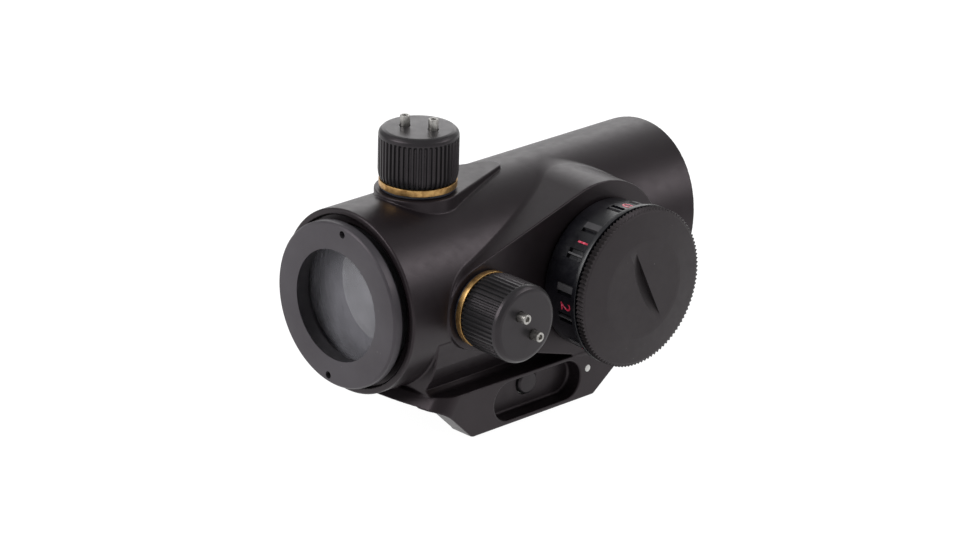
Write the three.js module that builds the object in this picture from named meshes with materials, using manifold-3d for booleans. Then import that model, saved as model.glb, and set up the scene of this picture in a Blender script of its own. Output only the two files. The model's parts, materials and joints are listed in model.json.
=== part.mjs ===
// Red dot finder: a closed tube sight with two capped adjusting turrets, a rotary
// brightness dial that holds the battery, and a clamp foot for a 21.2 mm accessory rail.
//
// Millimetres, +Z up, +Y towards the target along the optical axis, +X towards the dial.
// The origin is on the rail seat (the ceiling of the rail channel), under the tube's middle.
// Inside the "finder" group, z = 0 is the optical axis.

import * as THREE from 'three';
import { mergeVertices } from 'three/addons/utils/BufferGeometryUtils.js';
import Module from 'manifold-3d';

const wasm = await Module();
wasm.setup();

// ---- Driving dimensions ----

const AXIS_HEIGHT = 15.8; // optical axis above the rail seat

// Tube
const TUBE_R = 15.0;
const REAR_Y = -30.7;
const FRONT_Y = 30.7; // front rim at axis level
const FRONT_SLANT = 0.25; // the front rim leans forward by this much for each mm of height
const BORE_R = 11.6;
const REAR_SEAT_R = 12.4; // counterbore for the rear window
const REAR_SEAT_Y = -26.3; // its shoulder
const RIM_GROOVE_R = 13.9; // shallow recess in the rear rim, behind the ring
const RIM_GROOVE_DEPTH = 1.0;
const HOOD_R = 13.3; // counterbore for the front window and the hood in front of it
const HOOD_SEAT_Y = 21.0;
const RING_R = 13.5; // rear ring
const SIDE_X = 15.1; // milled flat on the dial side

// Turrets
const TURRET_Y = -16.3;
const PAD_Z = 15.6; // flat pad around the elevation turret
const PAD_R = 6.9;
const PAD_NOSE_R = 1.6;
const PAD_NOSE_Y = -0.6;
const TURRET_HOLE_R = 4.9;
const TURRET_GAP = 0.5; // seal under each brass base
const BRASS_R = 6.19;
const BRASS_H = 1.08;
const NECK_R = 4.5;
const NECK_TOP = 5.6;
const CAP_R = 6.36;
const CAP_FACE_R = 5.9;
const CAP_H = 8.2;
const CAP_BOTTOM = 1.2;
const CAP_CAVITY_R = 4.8;
const FLUTES = 24;
const FLUTE_DEPTH = 0.28;
const PIN_R = 0.8;
const PIN_H = 1.7;
const PIN_SPACING = 4.7;

// Dial and battery
const DIAL_Y = 9.0;
const DIAL_Z = -0.45;
const DIAL_BOSS_R = 14.5;
const WINDAGE_BOSS_R = 7.1;
const DIAL_BASE_X = 15.4;
const DIAL_R = 12.2;
const DIAL_FLANGE_R = 13.15;
const DIAL_TOP_X = 23.2;
const DETENT_R = 10.8; // the click ball, from the dial axis
const RIM_R = 13.15;
const RIM_TEETH = 60;
const RIM_TOOTH = 0.3;
const RIM_BOTTOM_X = 23.5;
const RIM_TOP_X = 24.9;
const FACE_TOP_X = 25.5; // the face rises from the rim to a flat disc
const FACE_DISC_R = 7.6;
const CELL_R = 10.0; // a 2032 coin cell
const CELL_H = 3.2;
const COIN_SLOT_L = 12.5;
const COIN_SLOT_W = 1.7;
const COIN_SLOT_DEPTH = 1.0;
const COIN_SLOT_OFFSET = 0.75; // sideways, from the dial axis
const COIN_SLOT_TURN = 24; // degrees away from upright

// Clamp foot
const FOOT_TOP_Z = -13.8; // ledge
const FOOT_REAR_Y = -27.0; // at the rail seat, on the centre line
const FOOT_REAR_ARC = 48.0; // radius of the rear end, seen from above
const FOOT_REAR_LEAN = 0.6; // the rear end leans forward this much per millimetre of height
const FOOT_BEND_Y = -22.9; // the underside of the rear end bends down here
const FOOT_BEND_Z = -16.7;
const FOOT_FRONT_TOP_Y = 19.8;
const FOOT_OUTER_Z = -21.75; // lower outer edge of each side
const LIP_TIP_Z = -22.7; // the lips are the lowest edges
const LIP_FLAT_X = 12.0; // the underside of each lip rises outside this
const LIP_REAR_Y = -16.75; // ends of the lips
const LIP_FRONT_Y = 7.9;
const WEB_REAR_Y = -24.6;
const WEB_DEEP_REAR_Y = -20.0; // in front of this the web reaches down to the rail seat
const WEB_FRONT_Y = 18.5;
const CHANNEL_HALF = 10.75; // half of the 21.2 mm rail, with running room
const LIP_HALF = 9.25; // the lips grip under the rail's widest edge
const LIP_TOP_Z = LIP_TIP_Z + CHANNEL_HALF - LIP_HALF;
const SEAT_EDGE_X = -10.7; // the seat ends here, beside the movable jaw
const JAW_SHOULDER_X = -11.8;
const BOLT_Y = -3.5;
const BOLT_Z = -17.0;
const BOLT_R = 2.0;
const KNOB_R = 4.6;
const KNOB_TEETH = 28;
const KNOB_TOOTH = 0.3;
const POCKET_R = 3.25;
const POCKET_REACH = 6.2; // from the bolt to each end's centre
const POCKET_Z = -17.8;
const POCKET_FLOOR_X = 12.3;

// Inner optical unit
const INNER_R = 9.8;
const INNER_BORE_R = 9.0;
const GIMBAL_Y = 16.5;

// ---- Materials ----

function finish(color, roughness, metalness) {
  return new THREE.MeshStandardMaterial({ color, roughness, metalness });
}

const blackAnodised = finish(0x2c2a2c, 0.5, 0.6);
const blackSatin = finish(0x1d1c1f, 0.45, 0.5);
const blackPlastic = finish(0x2a282c, 0.6, 0.0);
const brass = finish(0xb08a4f, 0.35, 1.0);
const steel = finish(0xb9b9bd, 0.3, 1.0);
const darkRubber = finish(0x141519, 0.8, 0.0);
const glass = finish(0x7d858a, 0.05, 0.0);
const boardGreen = finish(0x1e5a38, 0.5, 0.0);
const redLight = finish(0xc02020, 0.3, 0.0);
const whiteEnamel = finish(0xf2f2f0, 0.4, 0.0);

// ---- Solids ----

// Position-only indexed copy with shared vertices, no collapsed triangles, faces out.
function tidy(geometry) {
  const bare = geometry.clone();
  bare.deleteAttribute('normal');
  bare.deleteAttribute('uv');
  const merged = mergeVertices(bare);
  const position = merged.attributes.position;
  const source = merged.index.array;
  const kept = [];
  let volume = 0;
  const [a, b, c] = [new THREE.Vector3(), new THREE.Vector3(), new THREE.Vector3()];
  for (let i = 0; i < source.length; i += 3) {
    const [p, q, r] = source.slice(i, i + 3);
    if (p === q || q === r || r === p) continue;
    kept.push(p, q, r);
    a.fromBufferAttribute(position, p);
    b.fromBufferAttribute(position, q);
    c.fromBufferAttribute(position, r);
    volume += a.dot(b.cross(c));
  }
  if (volume < 0) kept.reverse();
  merged.setIndex(kept);
  return merged;
}

function toSolid(geometry) {
  const g = tidy(geometry);
  return new wasm.Manifold(new wasm.Mesh({
    numProp: 3,
    vertProperties: new Float32Array(g.attributes.position.array),
    triVerts: new Uint32Array(g.index.array),
  }));
}

function fromSolid(solid) {
  const mesh = solid.getMesh();
  const geometry = new THREE.BufferGeometry();
  geometry.setAttribute('position', new THREE.BufferAttribute(mesh.vertProperties, 3));
  geometry.setIndex(new THREE.BufferAttribute(mesh.triVerts, 1));
  return geometry;
}

function join(base, ...others) {
  return fromSolid(others.reduce((sum, g) => sum.add(toSolid(g)), toSolid(base)));
}

function common(a, b) {
  return fromSolid(toSolid(a).intersect(toSolid(b)));
}

function cut(base, ...others) {
  return fromSolid(others.reduce((rest, g) => rest.subtract(toSolid(g)), toSolid(base)));
}

// A profile of [radius, height] pairs turned about Z.
function turn(profile, segments = 24) {
  const points = profile.map(([radius, height]) => new THREE.Vector2(radius, height));
  const open = profile[0][0] > 0 || profile.at(-1)[0] > 0;
  if (open) points.push(points[0].clone());
  return tidy(new THREE.LatheGeometry(points, segments).rotateX(Math.PI / 2));
}

// A plain disc or rod along Z.
function rod(radius, bottom, top, segments = 24) {
  return turn([[0, bottom], [radius, bottom], [radius, top], [0, top]], segments);
}

// A plain washer or sleeve along Z.
function sleeve(inner, outer, bottom, top, segments = 24) {
  return turn([[inner, bottom], [outer, bottom], [outer, top], [inner, top]], segments);
}

function prism(shape, bottom, top, curveSegments = 12) {
  const options = { depth: top - bottom, bevelEnabled: false, curveSegments };
  return tidy(new THREE.ExtrudeGeometry(shape, options).translate(0, 0, bottom));
}

function polygon(points) {
  return new THREE.Shape(points.map(([x, y]) => new THREE.Vector2(x, y)));
}

// Outline of a belt around two circles whose centres are on the local x axis.
function belt(xa, ra, xb, rb) {
  const tangent = Math.acos((ra - rb) / (xb - xa));
  const shape = new THREE.Shape();
  shape.absarc(xb, 0, rb, -tangent, tangent, false);
  shape.absarc(xa, 0, ra, tangent, 2 * Math.PI - tangent, false);
  return shape;
}

// A ring of teeth around a circle.
function toothed(outer, depth, teeth) {
  const points = [];
  for (let i = 0; i < teeth; i += 1) {
    const angle = (2 * Math.PI * i) / teeth;
    const half = Math.PI / teeth;
    points.push([outer * Math.cos(angle), outer * Math.sin(angle)]);
    const root = outer - depth;
    points.push([root * Math.cos(angle + half), root * Math.sin(angle + half)]);
  }
  return polygon(points);
}

function box(x0, x1, y0, y1, z0, z1) {
  const g = new THREE.BoxGeometry(x1 - x0, y1 - y0, z1 - z0);
  return tidy(g.translate((x0 + x1) / 2, (y0 + y1) / 2, (z0 + z1) / 2));
}

// Outlines drawn in (y, z) become solids along X.
const YZ_TO_X = new THREE.Matrix4().makeBasis(
  new THREE.Vector3(0, 1, 0), new THREE.Vector3(0, 0, 1), new THREE.Vector3(1, 0, 0));
const alongX = (geometry) => geometry.applyMatrix4(YZ_TO_X);

// Outlines drawn in (x, z) become solids along Y, from bottom to top measured backwards.
const XZ_TO_Y = new THREE.Matrix4().makeBasis(
  new THREE.Vector3(1, 0, 0), new THREE.Vector3(0, 0, 1), new THREE.Vector3(0, -1, 0));
const alongY = (shape, y0, y1) => prism(shape, -y1, -y0).applyMatrix4(XZ_TO_Y);

// Turned pieces whose axis is the optical axis.
const onOpticalAxis = (geometry) => geometry.rotateX(-Math.PI / 2);

const finder = new THREE.Group();
finder.position.z = AXIS_HEIGHT;

function add(group, name, geometry, material) {
  const mesh = new THREE.Mesh(geometry, material);
  mesh.name = name;
  group.add(mesh);
  return mesh;
}

// ---- Main housing ----

function footOutline() {
  return polygon([
    [FOOT_REAR_Y - 1, FOOT_TOP_Z],
    [FOOT_REAR_Y - 1, -AXIS_HEIGHT],
    [FOOT_BEND_Y, FOOT_BEND_Z],
    [LIP_REAR_Y, LIP_TIP_Z],
    [LIP_FRONT_Y, LIP_TIP_Z],
    [FOOT_FRONT_TOP_Y, FOOT_TOP_Z],
  ]);
}

// One side of the foot, from one X to another. A wide upright cone rounds its rear end.
function footPlate(x0, x1) {
  const reach = 10;
  const cone = turn([
    [0, -reach], [FOOT_REAR_ARC + FOOT_REAR_LEAN * reach, -reach],
    [FOOT_REAR_ARC - FOOT_REAR_LEAN * reach, reach], [0, reach],
  ], 180).translate(0, FOOT_REAR_Y + FOOT_REAR_ARC, -AXIS_HEIGHT);
  return common(alongX(prism(footOutline(), x0, x1)), cone);
}

// Half of the section of the space round a lip: its inner slope, flat tip and outer rise.
function lipSection() {
  const below = 0.5;
  const rise = (SIDE_X - LIP_FLAT_X) / (FOOT_OUTER_Z - LIP_TIP_Z);
  return [
    [CHANNEL_HALF, LIP_TOP_Z], [LIP_HALF - below, LIP_TIP_Z - below],
    [LIP_FLAT_X - below * rise, LIP_TIP_Z - below], [SIDE_X, FOOT_OUTER_Z],
    [SIDE_X + 2, FOOT_OUTER_Z], [SIDE_X + 2, -30],
  ];
}

function mainHousing() {
  const tube = onOpticalAxis(rod(TUBE_R, REAR_Y, FRONT_Y + 8, 56));
  const sideBoss = alongX(prism(belt(TURRET_Y, WINDAGE_BOSS_R, DIAL_Y, DIAL_BOSS_R), 2, SIDE_X));
  const pad = prism(belt(TURRET_Y, PAD_R, PAD_NOSE_Y, PAD_NOSE_R), 8, PAD_Z)
    .rotateZ(Math.PI / 2);
  const flank = [[14.25, -4.7], [13.9, -6.8], [13.5, -8.9], [12.6, -11.1], [11.5, -13.0]];
  const fullWeb = alongY(polygon([
    ...flank, [12.4, FOOT_TOP_Z - 0.1], [12.6, -AXIS_HEIGHT], [SEAT_EDGE_X, -AXIS_HEIGHT],
    ...flank.map(([x, z]) => [-x, z]).reverse(),
  ]), WEB_REAR_Y, WEB_FRONT_Y);
  const underRear = box(-20, 20, -40, WEB_DEEP_REAR_Y, -30, FOOT_TOP_Z - 0.2);
  const web = cut(fullWeb, underRear);
  const plate = footPlate(SEAT_EDGE_X, SIDE_X);
  const channel = alongY(polygon([
    [-20, -AXIS_HEIGHT], [CHANNEL_HALF, -AXIS_HEIGHT], ...lipSection(), [-20, -30],
  ]), -40, 40);
  const pocket = alongX(prism(
    belt(BOLT_Y - POCKET_REACH, POCKET_R, BOLT_Y + POCKET_REACH, POCKET_R), POCKET_FLOOR_X, 17))
    .translate(0, 0, POCKET_Z);
  const boltHole = rod(BOLT_R + 0.5, -14, 14).rotateY(Math.PI / 2).translate(0, BOLT_Y, BOLT_Z);
  const bore = onOpticalAxis(turn([
    [0, REAR_Y - 5], [RIM_GROOVE_R, REAR_Y - 5], [RIM_GROOVE_R, REAR_Y + RIM_GROOVE_DEPTH],
    [REAR_SEAT_R, REAR_Y + RIM_GROOVE_DEPTH], [REAR_SEAT_R, REAR_SEAT_Y], [BORE_R, REAR_SEAT_Y],
    [BORE_R, HOOD_SEAT_Y], [HOOD_R, HOOD_SEAT_Y], [HOOD_R, 50], [0, 50],
  ], 40));
  const slant = Math.atan(FRONT_SLANT);
  const frontCut = box(-30, 30, 0, 30, -40, 40).rotateX(-slant).translate(0, FRONT_Y, 0);
  const elevationHole = rod(TURRET_HOLE_R, 5, 20, 40).translate(0, TURRET_Y, 0);
  const windageHole = rod(TURRET_HOLE_R, 5, 20, 40).rotateY(Math.PI / 2).translate(0, TURRET_Y, 0);
  const screwHoles = [-1, 1].map((side) => (
    rod(1.0, 12.7, 20, 20).rotateY(Math.PI / 2).translate(0, DIAL_Y, DIAL_Z + 6 * side)));
  const detentHole = rod(1.0, 11.5, 20, 20).rotateY(Math.PI / 2).translate(0, DIAL_Y - DETENT_R, DIAL_Z);
  const wireHole = rod(1.5, 8, 20, 20).rotateY(Math.PI / 2).translate(0, DIAL_Y + 3, DIAL_Z);
  const dotHole = rod(0.6, SIDE_X - 0.3, 20, 20).rotateY(Math.PI / 2).translate(0, 7.6, -16.9);
  const pivotHoles = [1, -1].map((side) => (
    rod(0.8, 0, 13.4, 20).rotateX(side > 0 ? 0 : Math.PI).translate(0, GIMBAL_Y, 0)));
  const body = join(tube, sideBoss, pad, web, plate);
  return cut(body, channel, pocket, boltHole, bore, frontCut,
    elevationHole, windageHole, detentHole, wireHole, dotHole, ...screwHoles, ...pivotHoles);
}

add(finder, 'main_housing', mainHousing(), blackAnodised);
add(finder, 'index_dot', rod(0.5, SIDE_X - 0.25, SIDE_X, 20).rotateY(Math.PI / 2)
  .translate(0, 7.6, -16.9), whiteEnamel);

// ---- Rear window and its threaded ring ----

function rearRing() {
  const ring = turn([
    [9.06, -33.34], [13.2, -33.34], [RING_R, -33.04], [RING_R, -31.7], [12.9, -30.9], [12.15, -30.9],
    [12.15, -28.95], [11.0, -28.95], [11.0, -29.9], [9.5, -30.6], [9.5, -32.8],
  ], 48);
  const holes = [84, 263].map((angle) => {
    const a = THREE.MathUtils.degToRad(angle);
    return rod(0.6, -34, -32.3, 16).translate(12.25 * Math.cos(a), -12.25 * Math.sin(a), 0);
  });
  return onOpticalAxis(cut(ring, ...holes));
}

add(finder, 'rear_retaining_ring', rearRing(), blackAnodised);
add(finder, 'rear_window', onOpticalAxis(rod(12.1, -28.75, -27.1, 40)), glass);
add(finder, 'rear_window_seal', onOpticalAxis(sleeve(11.0, 12.1, -26.95, -26.45)), darkRubber);

// ---- Front window, deep in the hood ----

function frontRing() {
  const ring = sleeve(11.3, 13.1, 24.2, 26.6, 40);
  const notches = [0, 1].map((i) => box(-14, 14, -0.8, 0.8, 25.6, 27).rotateZ((i * Math.PI) / 2));
  return onOpticalAxis(cut(ring, ...notches));
}

add(finder, 'front_window_seal', onOpticalAxis(sleeve(11.8, 13.0, 21.15, 21.85)), darkRubber);
add(finder, 'front_window', onOpticalAxis(rod(13.0, 22.0, 24.0, 40)), glass);
add(finder, 'front_retaining_ring', frontRing(), blackAnodised);

// ---- Inner optical unit on a gimbal ring ----

const gimbal = new THREE.Group();
gimbal.position.y = GIMBAL_Y;
finder.add(gimbal);

// A ring about the optical axis with cross holes for the four pivot pins.
function gimbalRing() {
  const ring = onOpticalAxis(sleeve(10.2, 11.2, -1.6, 1.6, 32));
  const vertical = rod(0.8, -12, 12, 16);
  const level = rod(0.8, -12, 12, 16).rotateY(Math.PI / 2);
  return cut(ring, vertical, level);
}

function pivotPin() {
  return rod(0.55, 10.25, 13.1, 16);
}

add(gimbal, 'gimbal_ring', gimbalRing(), brass);
add(gimbal, 'gimbal_pin_top', pivotPin(), steel);
add(gimbal, 'gimbal_pin_bottom', pivotPin().rotateX(Math.PI), steel);
const sidePin = () => rod(0.55, 9.15, 11.1, 16);
add(gimbal, 'gimbal_pin_right', sidePin().rotateY(Math.PI / 2), steel);
add(gimbal, 'gimbal_pin_left', sidePin().rotateY(-Math.PI / 2), steel);

function innerTube() {
  const tube = turn([
    [INNER_BORE_R, -25.0], [INNER_R, -25.0], [INNER_R, 19.6], [INNER_BORE_R, 19.6],
    [INNER_BORE_R, 14.2], [8.1, 14.2], [8.1, 12.6], [INNER_BORE_R, 12.6],
  ], 40);
  const sideHoles = rod(0.75, -12, 12, 16).rotateY(Math.PI / 2).translate(0, 0, GIMBAL_Y);
  return onOpticalAxis(cut(tube, sideHoles));
}

add(finder, 'inner_tube', innerTube(), blackSatin);
add(finder, 'reflector_lens', onOpticalAxis(turn([
  [0, 14.9], [4.5, 14.75], [8.7, 14.35], [8.7, 15.4], [4.5, 15.4], [0, 15.4],
], 48)), glass);
add(finder, 'lens_retainer', onOpticalAxis(sleeve(7.9, 8.85, 17.6, 19.4)), blackSatin);
add(finder, 'emitter_holder', box(5.9, 8.4, -16, -11.5, -1.4, 1.4), blackPlastic);
add(finder, 'led_emitter', onOpticalAxis(turn([
  [0, -11.3], [0.7, -11.3], [0.7, -10.5], [0.35, -10.05], [0, -10.0],
], 16)).translate(6.9, 0, 0), redLight);

// Bowed leaf spring that pushes the inner tube towards both adjusting screws.
function returnSpring() {
  const ring = sleeve(10.0, 10.5, -19.5, -13.0, 72);
  const wedge = prism(polygon([[0, 0], [20, -4.5], [20, 4.5]]), -25, -8);
  const solid = toSolid(ring).intersect(toSolid(wedge));
  return onOpticalAxis(fromSolid(solid)).rotateY(-0.75 * Math.PI);
}

add(finder, 'return_spring', returnSpring(), steel);

// ---- Turrets: built about local +Z, datum on the underside of the brass flange ----

function turretBase() {
  return turn([
    [2.3, -3.4], [4.7, -3.4], [4.7, 0], [BRASS_R, 0], [BRASS_R, BRASS_H], [NECK_R, BRASS_H],
    [NECK_R, NECK_TOP], [3.5, NECK_TOP], [3.5, 3.6], [2.3, 3.6],
  ]);
}

function adjustingScrew() {
  const screw = turn([
    [1.6, -3.3], [2.1, -3.3], [2.1, 3.75], [3.3, 3.75], [3.3, 5.3], [0, 5.3], [0, -0.8], [1.6, -0.8],
  ], 24);
  const slot = box(-4, 4, -0.4, 0.4, 4.6, 6);
  return cut(screw, slot);
}

function turretCap() {
  const shell = turn([
    [0, CAP_BOTTOM + CAP_H], [CAP_FACE_R - 0.5, CAP_BOTTOM + CAP_H],
    [CAP_FACE_R, CAP_BOTTOM + CAP_H - 0.15], [CAP_R - 0.12, CAP_BOTTOM + CAP_H - 0.6],
    [CAP_R, CAP_BOTTOM + CAP_H - 1.2], [CAP_R, CAP_BOTTOM + 1.0], [CAP_R - 0.22, CAP_BOTTOM],
    [5.75, CAP_BOTTOM], [5.75, 2.2], [CAP_CAVITY_R, 2.2], [CAP_CAVITY_R, 7.0], [0, 7.0],
  ], 24);
  const pinHoles = pinPlaces().map(([x, y]) => rod(0.95, 8.0, 10, 16).translate(x, y, 0));
  const fluted = toSolid(prism(toothed(CAP_R + 0.02, FLUTE_DEPTH, FLUTES), -1, 8.3));
  const crown = toSolid(rod(CAP_R + 1, 8.3, 12, 48));
  const body = toSolid(shell).intersect(fluted.add(crown));
  return pinHoles.reduce((rest, g) => cut(rest, g), fromSolid(body));
}

function pinPlaces() {
  return [-1, 1].map((side) => [side * PIN_SPACING / 2, 0]);
}

function capPin() {
  const tip = CAP_BOTTOM + CAP_H + PIN_H;
  return turn([
    [0, 8.15], [PIN_R, 8.15], [PIN_R, tip - 0.15], [PIN_R - 0.15, tip], [0.42, tip],
    [0.42, tip - 0.6], [0, tip - 0.6],
  ], 14);
}

// turnDegrees is the direction of the line through the two pins about local Z.
function turret(prefix, turnDegrees) {
  const group = new THREE.Group();
  add(group, `${prefix}_base_seal`, sleeve(4.95, 6.0, -TURRET_GAP + 0.05, -0.05), darkRubber);
  add(group, `${prefix}_turret_base`, turretBase(), brass);
  add(group, `${prefix}_screw`, adjustingScrew(), steel);
  add(group, `${prefix}_pusher`, rod(1.35, -5.75, -1.9, 20), steel);
  add(group, `${prefix}_cap_seal`, sleeve(4.65, 5.6, 1.3, 2.05), darkRubber);
  const cap = new THREE.Group();
  cap.rotation.z = THREE.MathUtils.degToRad(turnDegrees);
  group.add(cap);
  add(cap, `${prefix}_cap`, turretCap(), blackSatin);
  pinPlaces().forEach(([x, y], i) => {
    add(cap, `${prefix}_cap_pin_${i + 1}`, capPin().translate(x, y, 0), steel);
  });
  return group;
}

const elevation = turret('elevation', 27);
elevation.position.set(0, TURRET_Y, PAD_Z + TURRET_GAP);
finder.add(elevation);

const windage = turret('windage', 38);
windage.rotation.y = Math.PI / 2;
windage.position.set(SIDE_X + TURRET_GAP, TURRET_Y, 0);
finder.add(windage);

// ---- Brightness dial: built about local +Z, which points along +X ----

const dial = new THREE.Group();
dial.rotation.y = Math.PI / 2;
dial.position.set(0, DIAL_Y, DIAL_Z);
finder.add(dial);

function batteryHolder() {
  const cup = turn([
    [0, SIDE_X + 0.05], [9.8, SIDE_X + 0.05], [9.8, 16.6], [10.85, 16.6], [10.85, 20.6],
    [CELL_R + 0.25, 20.6], [CELL_R + 0.25, 18.2], [9.2, 18.2], [9.2, 16.9], [0, 16.9],
  ], 32);
  const holes = [-1, 1].map((side) => turn([
    [0, 14], [1.05, 14], [1.05, 15.9], [1.95, 15.9], [1.95, 18], [0, 18],
  ], 20).translate(6 * side, 0, 0));
  return cut(cup, ...holes);
}

function holderScrew() {
  const screw = turn([
    [0, 13.0], [0.85, 13.0], [0.85, 16.05], [1.75, 16.05], [1.75, 16.8], [0, 16.8],
  ], 20);
  return cut(screw, box(-3, 3, -0.2, 0.2, 16.4, 18));
}

function dialSleeve() {
  return turn([
    [10.1, DIAL_BASE_X], [DIAL_R - 0.3, DIAL_BASE_X], [DIAL_R, DIAL_BASE_X + 0.3], [DIAL_R + 0.3, 22.1],
    [DIAL_FLANGE_R, 22.4], [DIAL_FLANGE_R, DIAL_TOP_X], [11.95, DIAL_TOP_X], [11.95, 22.35],
    [11.1, 22.35], [11.1, 16.4], [10.1, 16.4],
  ], 40);
}

function batteryCap() {
  const disc = prism(toothed(RIM_R, RIM_TOOTH, RIM_TEETH), RIM_BOTTOM_X, RIM_TOP_X - 0.25);
  const faceEdge = RIM_R - RIM_TOOTH - 0.3;
  const face = turn([
    [0, RIM_TOP_X - 0.4], [faceEdge, RIM_TOP_X - 0.4], [faceEdge, RIM_TOP_X - 0.05],
    [FACE_DISC_R, FACE_TOP_X], [0, FACE_TOP_X],
  ], 48);
  const skirt = sleeve(10.3, 10.9, 21.0, RIM_BOTTOM_X + 0.2, 32);
  const slot = box(-COIN_SLOT_W / 2, COIN_SLOT_W / 2, -COIN_SLOT_L / 2, COIN_SLOT_L / 2,
    FACE_TOP_X - COIN_SLOT_DEPTH, FACE_TOP_X + 1)
    .translate(COIN_SLOT_OFFSET, 0, 0)
    .rotateZ(THREE.MathUtils.degToRad(90 + COIN_SLOT_TURN));
  return cut(join(disc, face, skirt), slot);
}

add(dial, 'battery_holder', batteryHolder(), blackPlastic);
[-1, 1].forEach((side, i) => {
  add(dial, `holder_screw_${i + 1}`, holderScrew().translate(6 * side, 0, 0), steel);
});
add(dial, 'circuit_board', rod(9.0, 17.05, 17.7, 40), boardGreen);
add(dial, 'battery_contact', turn([[0, 17.75], [2.2, 17.75], [1.2, 18.2], [0, 18.2]], 20), steel);
add(dial, 'battery_cell', turn([
  [0, 18.3], [8.6, 18.3], [8.6, 18.6], [CELL_R - 0.3, 18.6], [CELL_R, 18.9],
  [CELL_R, 18.3 + CELL_H], [0, 18.3 + CELL_H],
], 32), steel);
add(dial, 'brightness_dial', dialSleeve(), blackPlastic);
add(dial, 'battery_cap_seal', sleeve(11.05, 11.8, 22.5, 23.25, 40), darkRubber);
add(dial, 'battery_cap', batteryCap(), blackAnodised);
add(dial, 'cap_contact_spring', sleeve(5.5, 8.0, 22.0, 23.3, 40), steel);
add(dial, 'detent_ball', tidy(new THREE.SphereGeometry(0.75, 12, 7))
  .translate(0, -DETENT_R, 14.45), steel);
add(dial, 'detent_spring', sleeve(0.3, 0.75, 11.8, 13.5, 16).translate(0, -DETENT_R, 0), steel);

// ---- Clamp ----

function clampJaw() {
  const plate = footPlate(-SIDE_X, -8.5);
  const inside = alongY(polygon([
    [JAW_SHOULDER_X, -10], [0, -10], [0, -30], ...lipSection().reverse().map(([x, z]) => [-x, z]),
    [-CHANNEL_HALF, -AXIS_HEIGHT - 0.4], [JAW_SHOULDER_X, -AXIS_HEIGHT - 0.4],
  ]), -40, 40);
  const hole = rod(BOLT_R + 0.3, -20, 0, 24).rotateY(Math.PI / 2).translate(0, BOLT_Y, BOLT_Z);
  return cut(plate, inside, hole);
}

// The bolt's local +Z points along +X; its knob is outside the movable jaw.
function clampBolt() {
  const shaft = turn([
    [0, -20.9], [KNOB_R - 0.5, -20.9], [KNOB_R, -20.4], [KNOB_R, -16.6], [KNOB_R - 0.4, -16.2],
    [BOLT_R, -16.2], [BOLT_R, 12.5], [BOLT_R - 0.4, 12.9], [0, 12.9],
  ], KNOB_TEETH);
  const knurl = toSolid(prism(toothed(KNOB_R + 0.02, KNOB_TOOTH, KNOB_TEETH), -22, -16.2));
  const limits = knurl.add(toSolid(rod(BOLT_R + 1, -16.8, 14, KNOB_TEETH)));
  const slot = box(-0.7, 0.7, -6, 6, -22, -19.6);
  return cut(fromSolid(toSolid(shaft).intersect(limits)), slot);
}

const clampLine = new THREE.Group();
clampLine.rotation.y = Math.PI / 2;
clampLine.position.set(0, BOLT_Y, BOLT_Z);
finder.add(clampLine);

add(finder, 'clamp_jaw', clampJaw(), blackAnodised);
add(clampLine, 'clamp_washer', sleeve(BOLT_R + 0.2, 4.2, -16.0, -15.3, 32), steel);
add(clampLine, 'clamp_bolt', clampBolt(), blackSatin);

const model = new THREE.Group();
model.add(finder);

export default model;
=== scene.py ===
import json
import math

import bmesh
import bpy
import numpy as np
from mathutils import Matrix, Vector


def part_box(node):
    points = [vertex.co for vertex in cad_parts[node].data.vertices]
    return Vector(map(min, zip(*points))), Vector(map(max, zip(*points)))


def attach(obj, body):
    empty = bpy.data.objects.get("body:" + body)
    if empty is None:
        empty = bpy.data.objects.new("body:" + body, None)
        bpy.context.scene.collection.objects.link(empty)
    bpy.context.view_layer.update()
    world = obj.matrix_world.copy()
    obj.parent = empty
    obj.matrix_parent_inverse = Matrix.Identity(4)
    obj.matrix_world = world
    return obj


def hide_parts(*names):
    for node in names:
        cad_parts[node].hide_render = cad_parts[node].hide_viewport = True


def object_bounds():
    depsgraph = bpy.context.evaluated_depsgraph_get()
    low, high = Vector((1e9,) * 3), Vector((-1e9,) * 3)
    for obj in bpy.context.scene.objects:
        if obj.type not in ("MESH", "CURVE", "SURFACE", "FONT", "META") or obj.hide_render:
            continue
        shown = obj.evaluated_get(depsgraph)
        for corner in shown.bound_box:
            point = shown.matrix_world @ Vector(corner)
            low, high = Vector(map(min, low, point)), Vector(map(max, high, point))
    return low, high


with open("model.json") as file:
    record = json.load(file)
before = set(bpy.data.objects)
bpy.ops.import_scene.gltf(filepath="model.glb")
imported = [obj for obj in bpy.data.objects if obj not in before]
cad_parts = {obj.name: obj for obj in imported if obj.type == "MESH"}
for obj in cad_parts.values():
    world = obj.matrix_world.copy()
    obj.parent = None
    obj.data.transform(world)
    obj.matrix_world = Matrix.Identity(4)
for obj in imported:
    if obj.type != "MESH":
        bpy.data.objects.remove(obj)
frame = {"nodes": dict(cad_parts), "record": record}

CAD_BOX = [list(corner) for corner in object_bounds()]
SLOT_OF = {row["node"]: row["material_slot"] for row in frame["record"]["subparts"]}

# A closed red dot finder with a clamp foot. The fine surfaces below ride on the bodies of the CAD frame.
# The CAD nodes that no fine surface stands for stay visible.

# ---- Driving dimensions, in millimetres about the optical axis ----

MM = 0.001


def middle(node, axis):
    """Middle of a CAD node's box along one axis, in metres."""
    low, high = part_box(node)
    return (low[axis] + high[axis]) / 2


AXIS = middle("inner_tube", 2) / MM  # height of the optical axis over the row frame's origin

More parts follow.
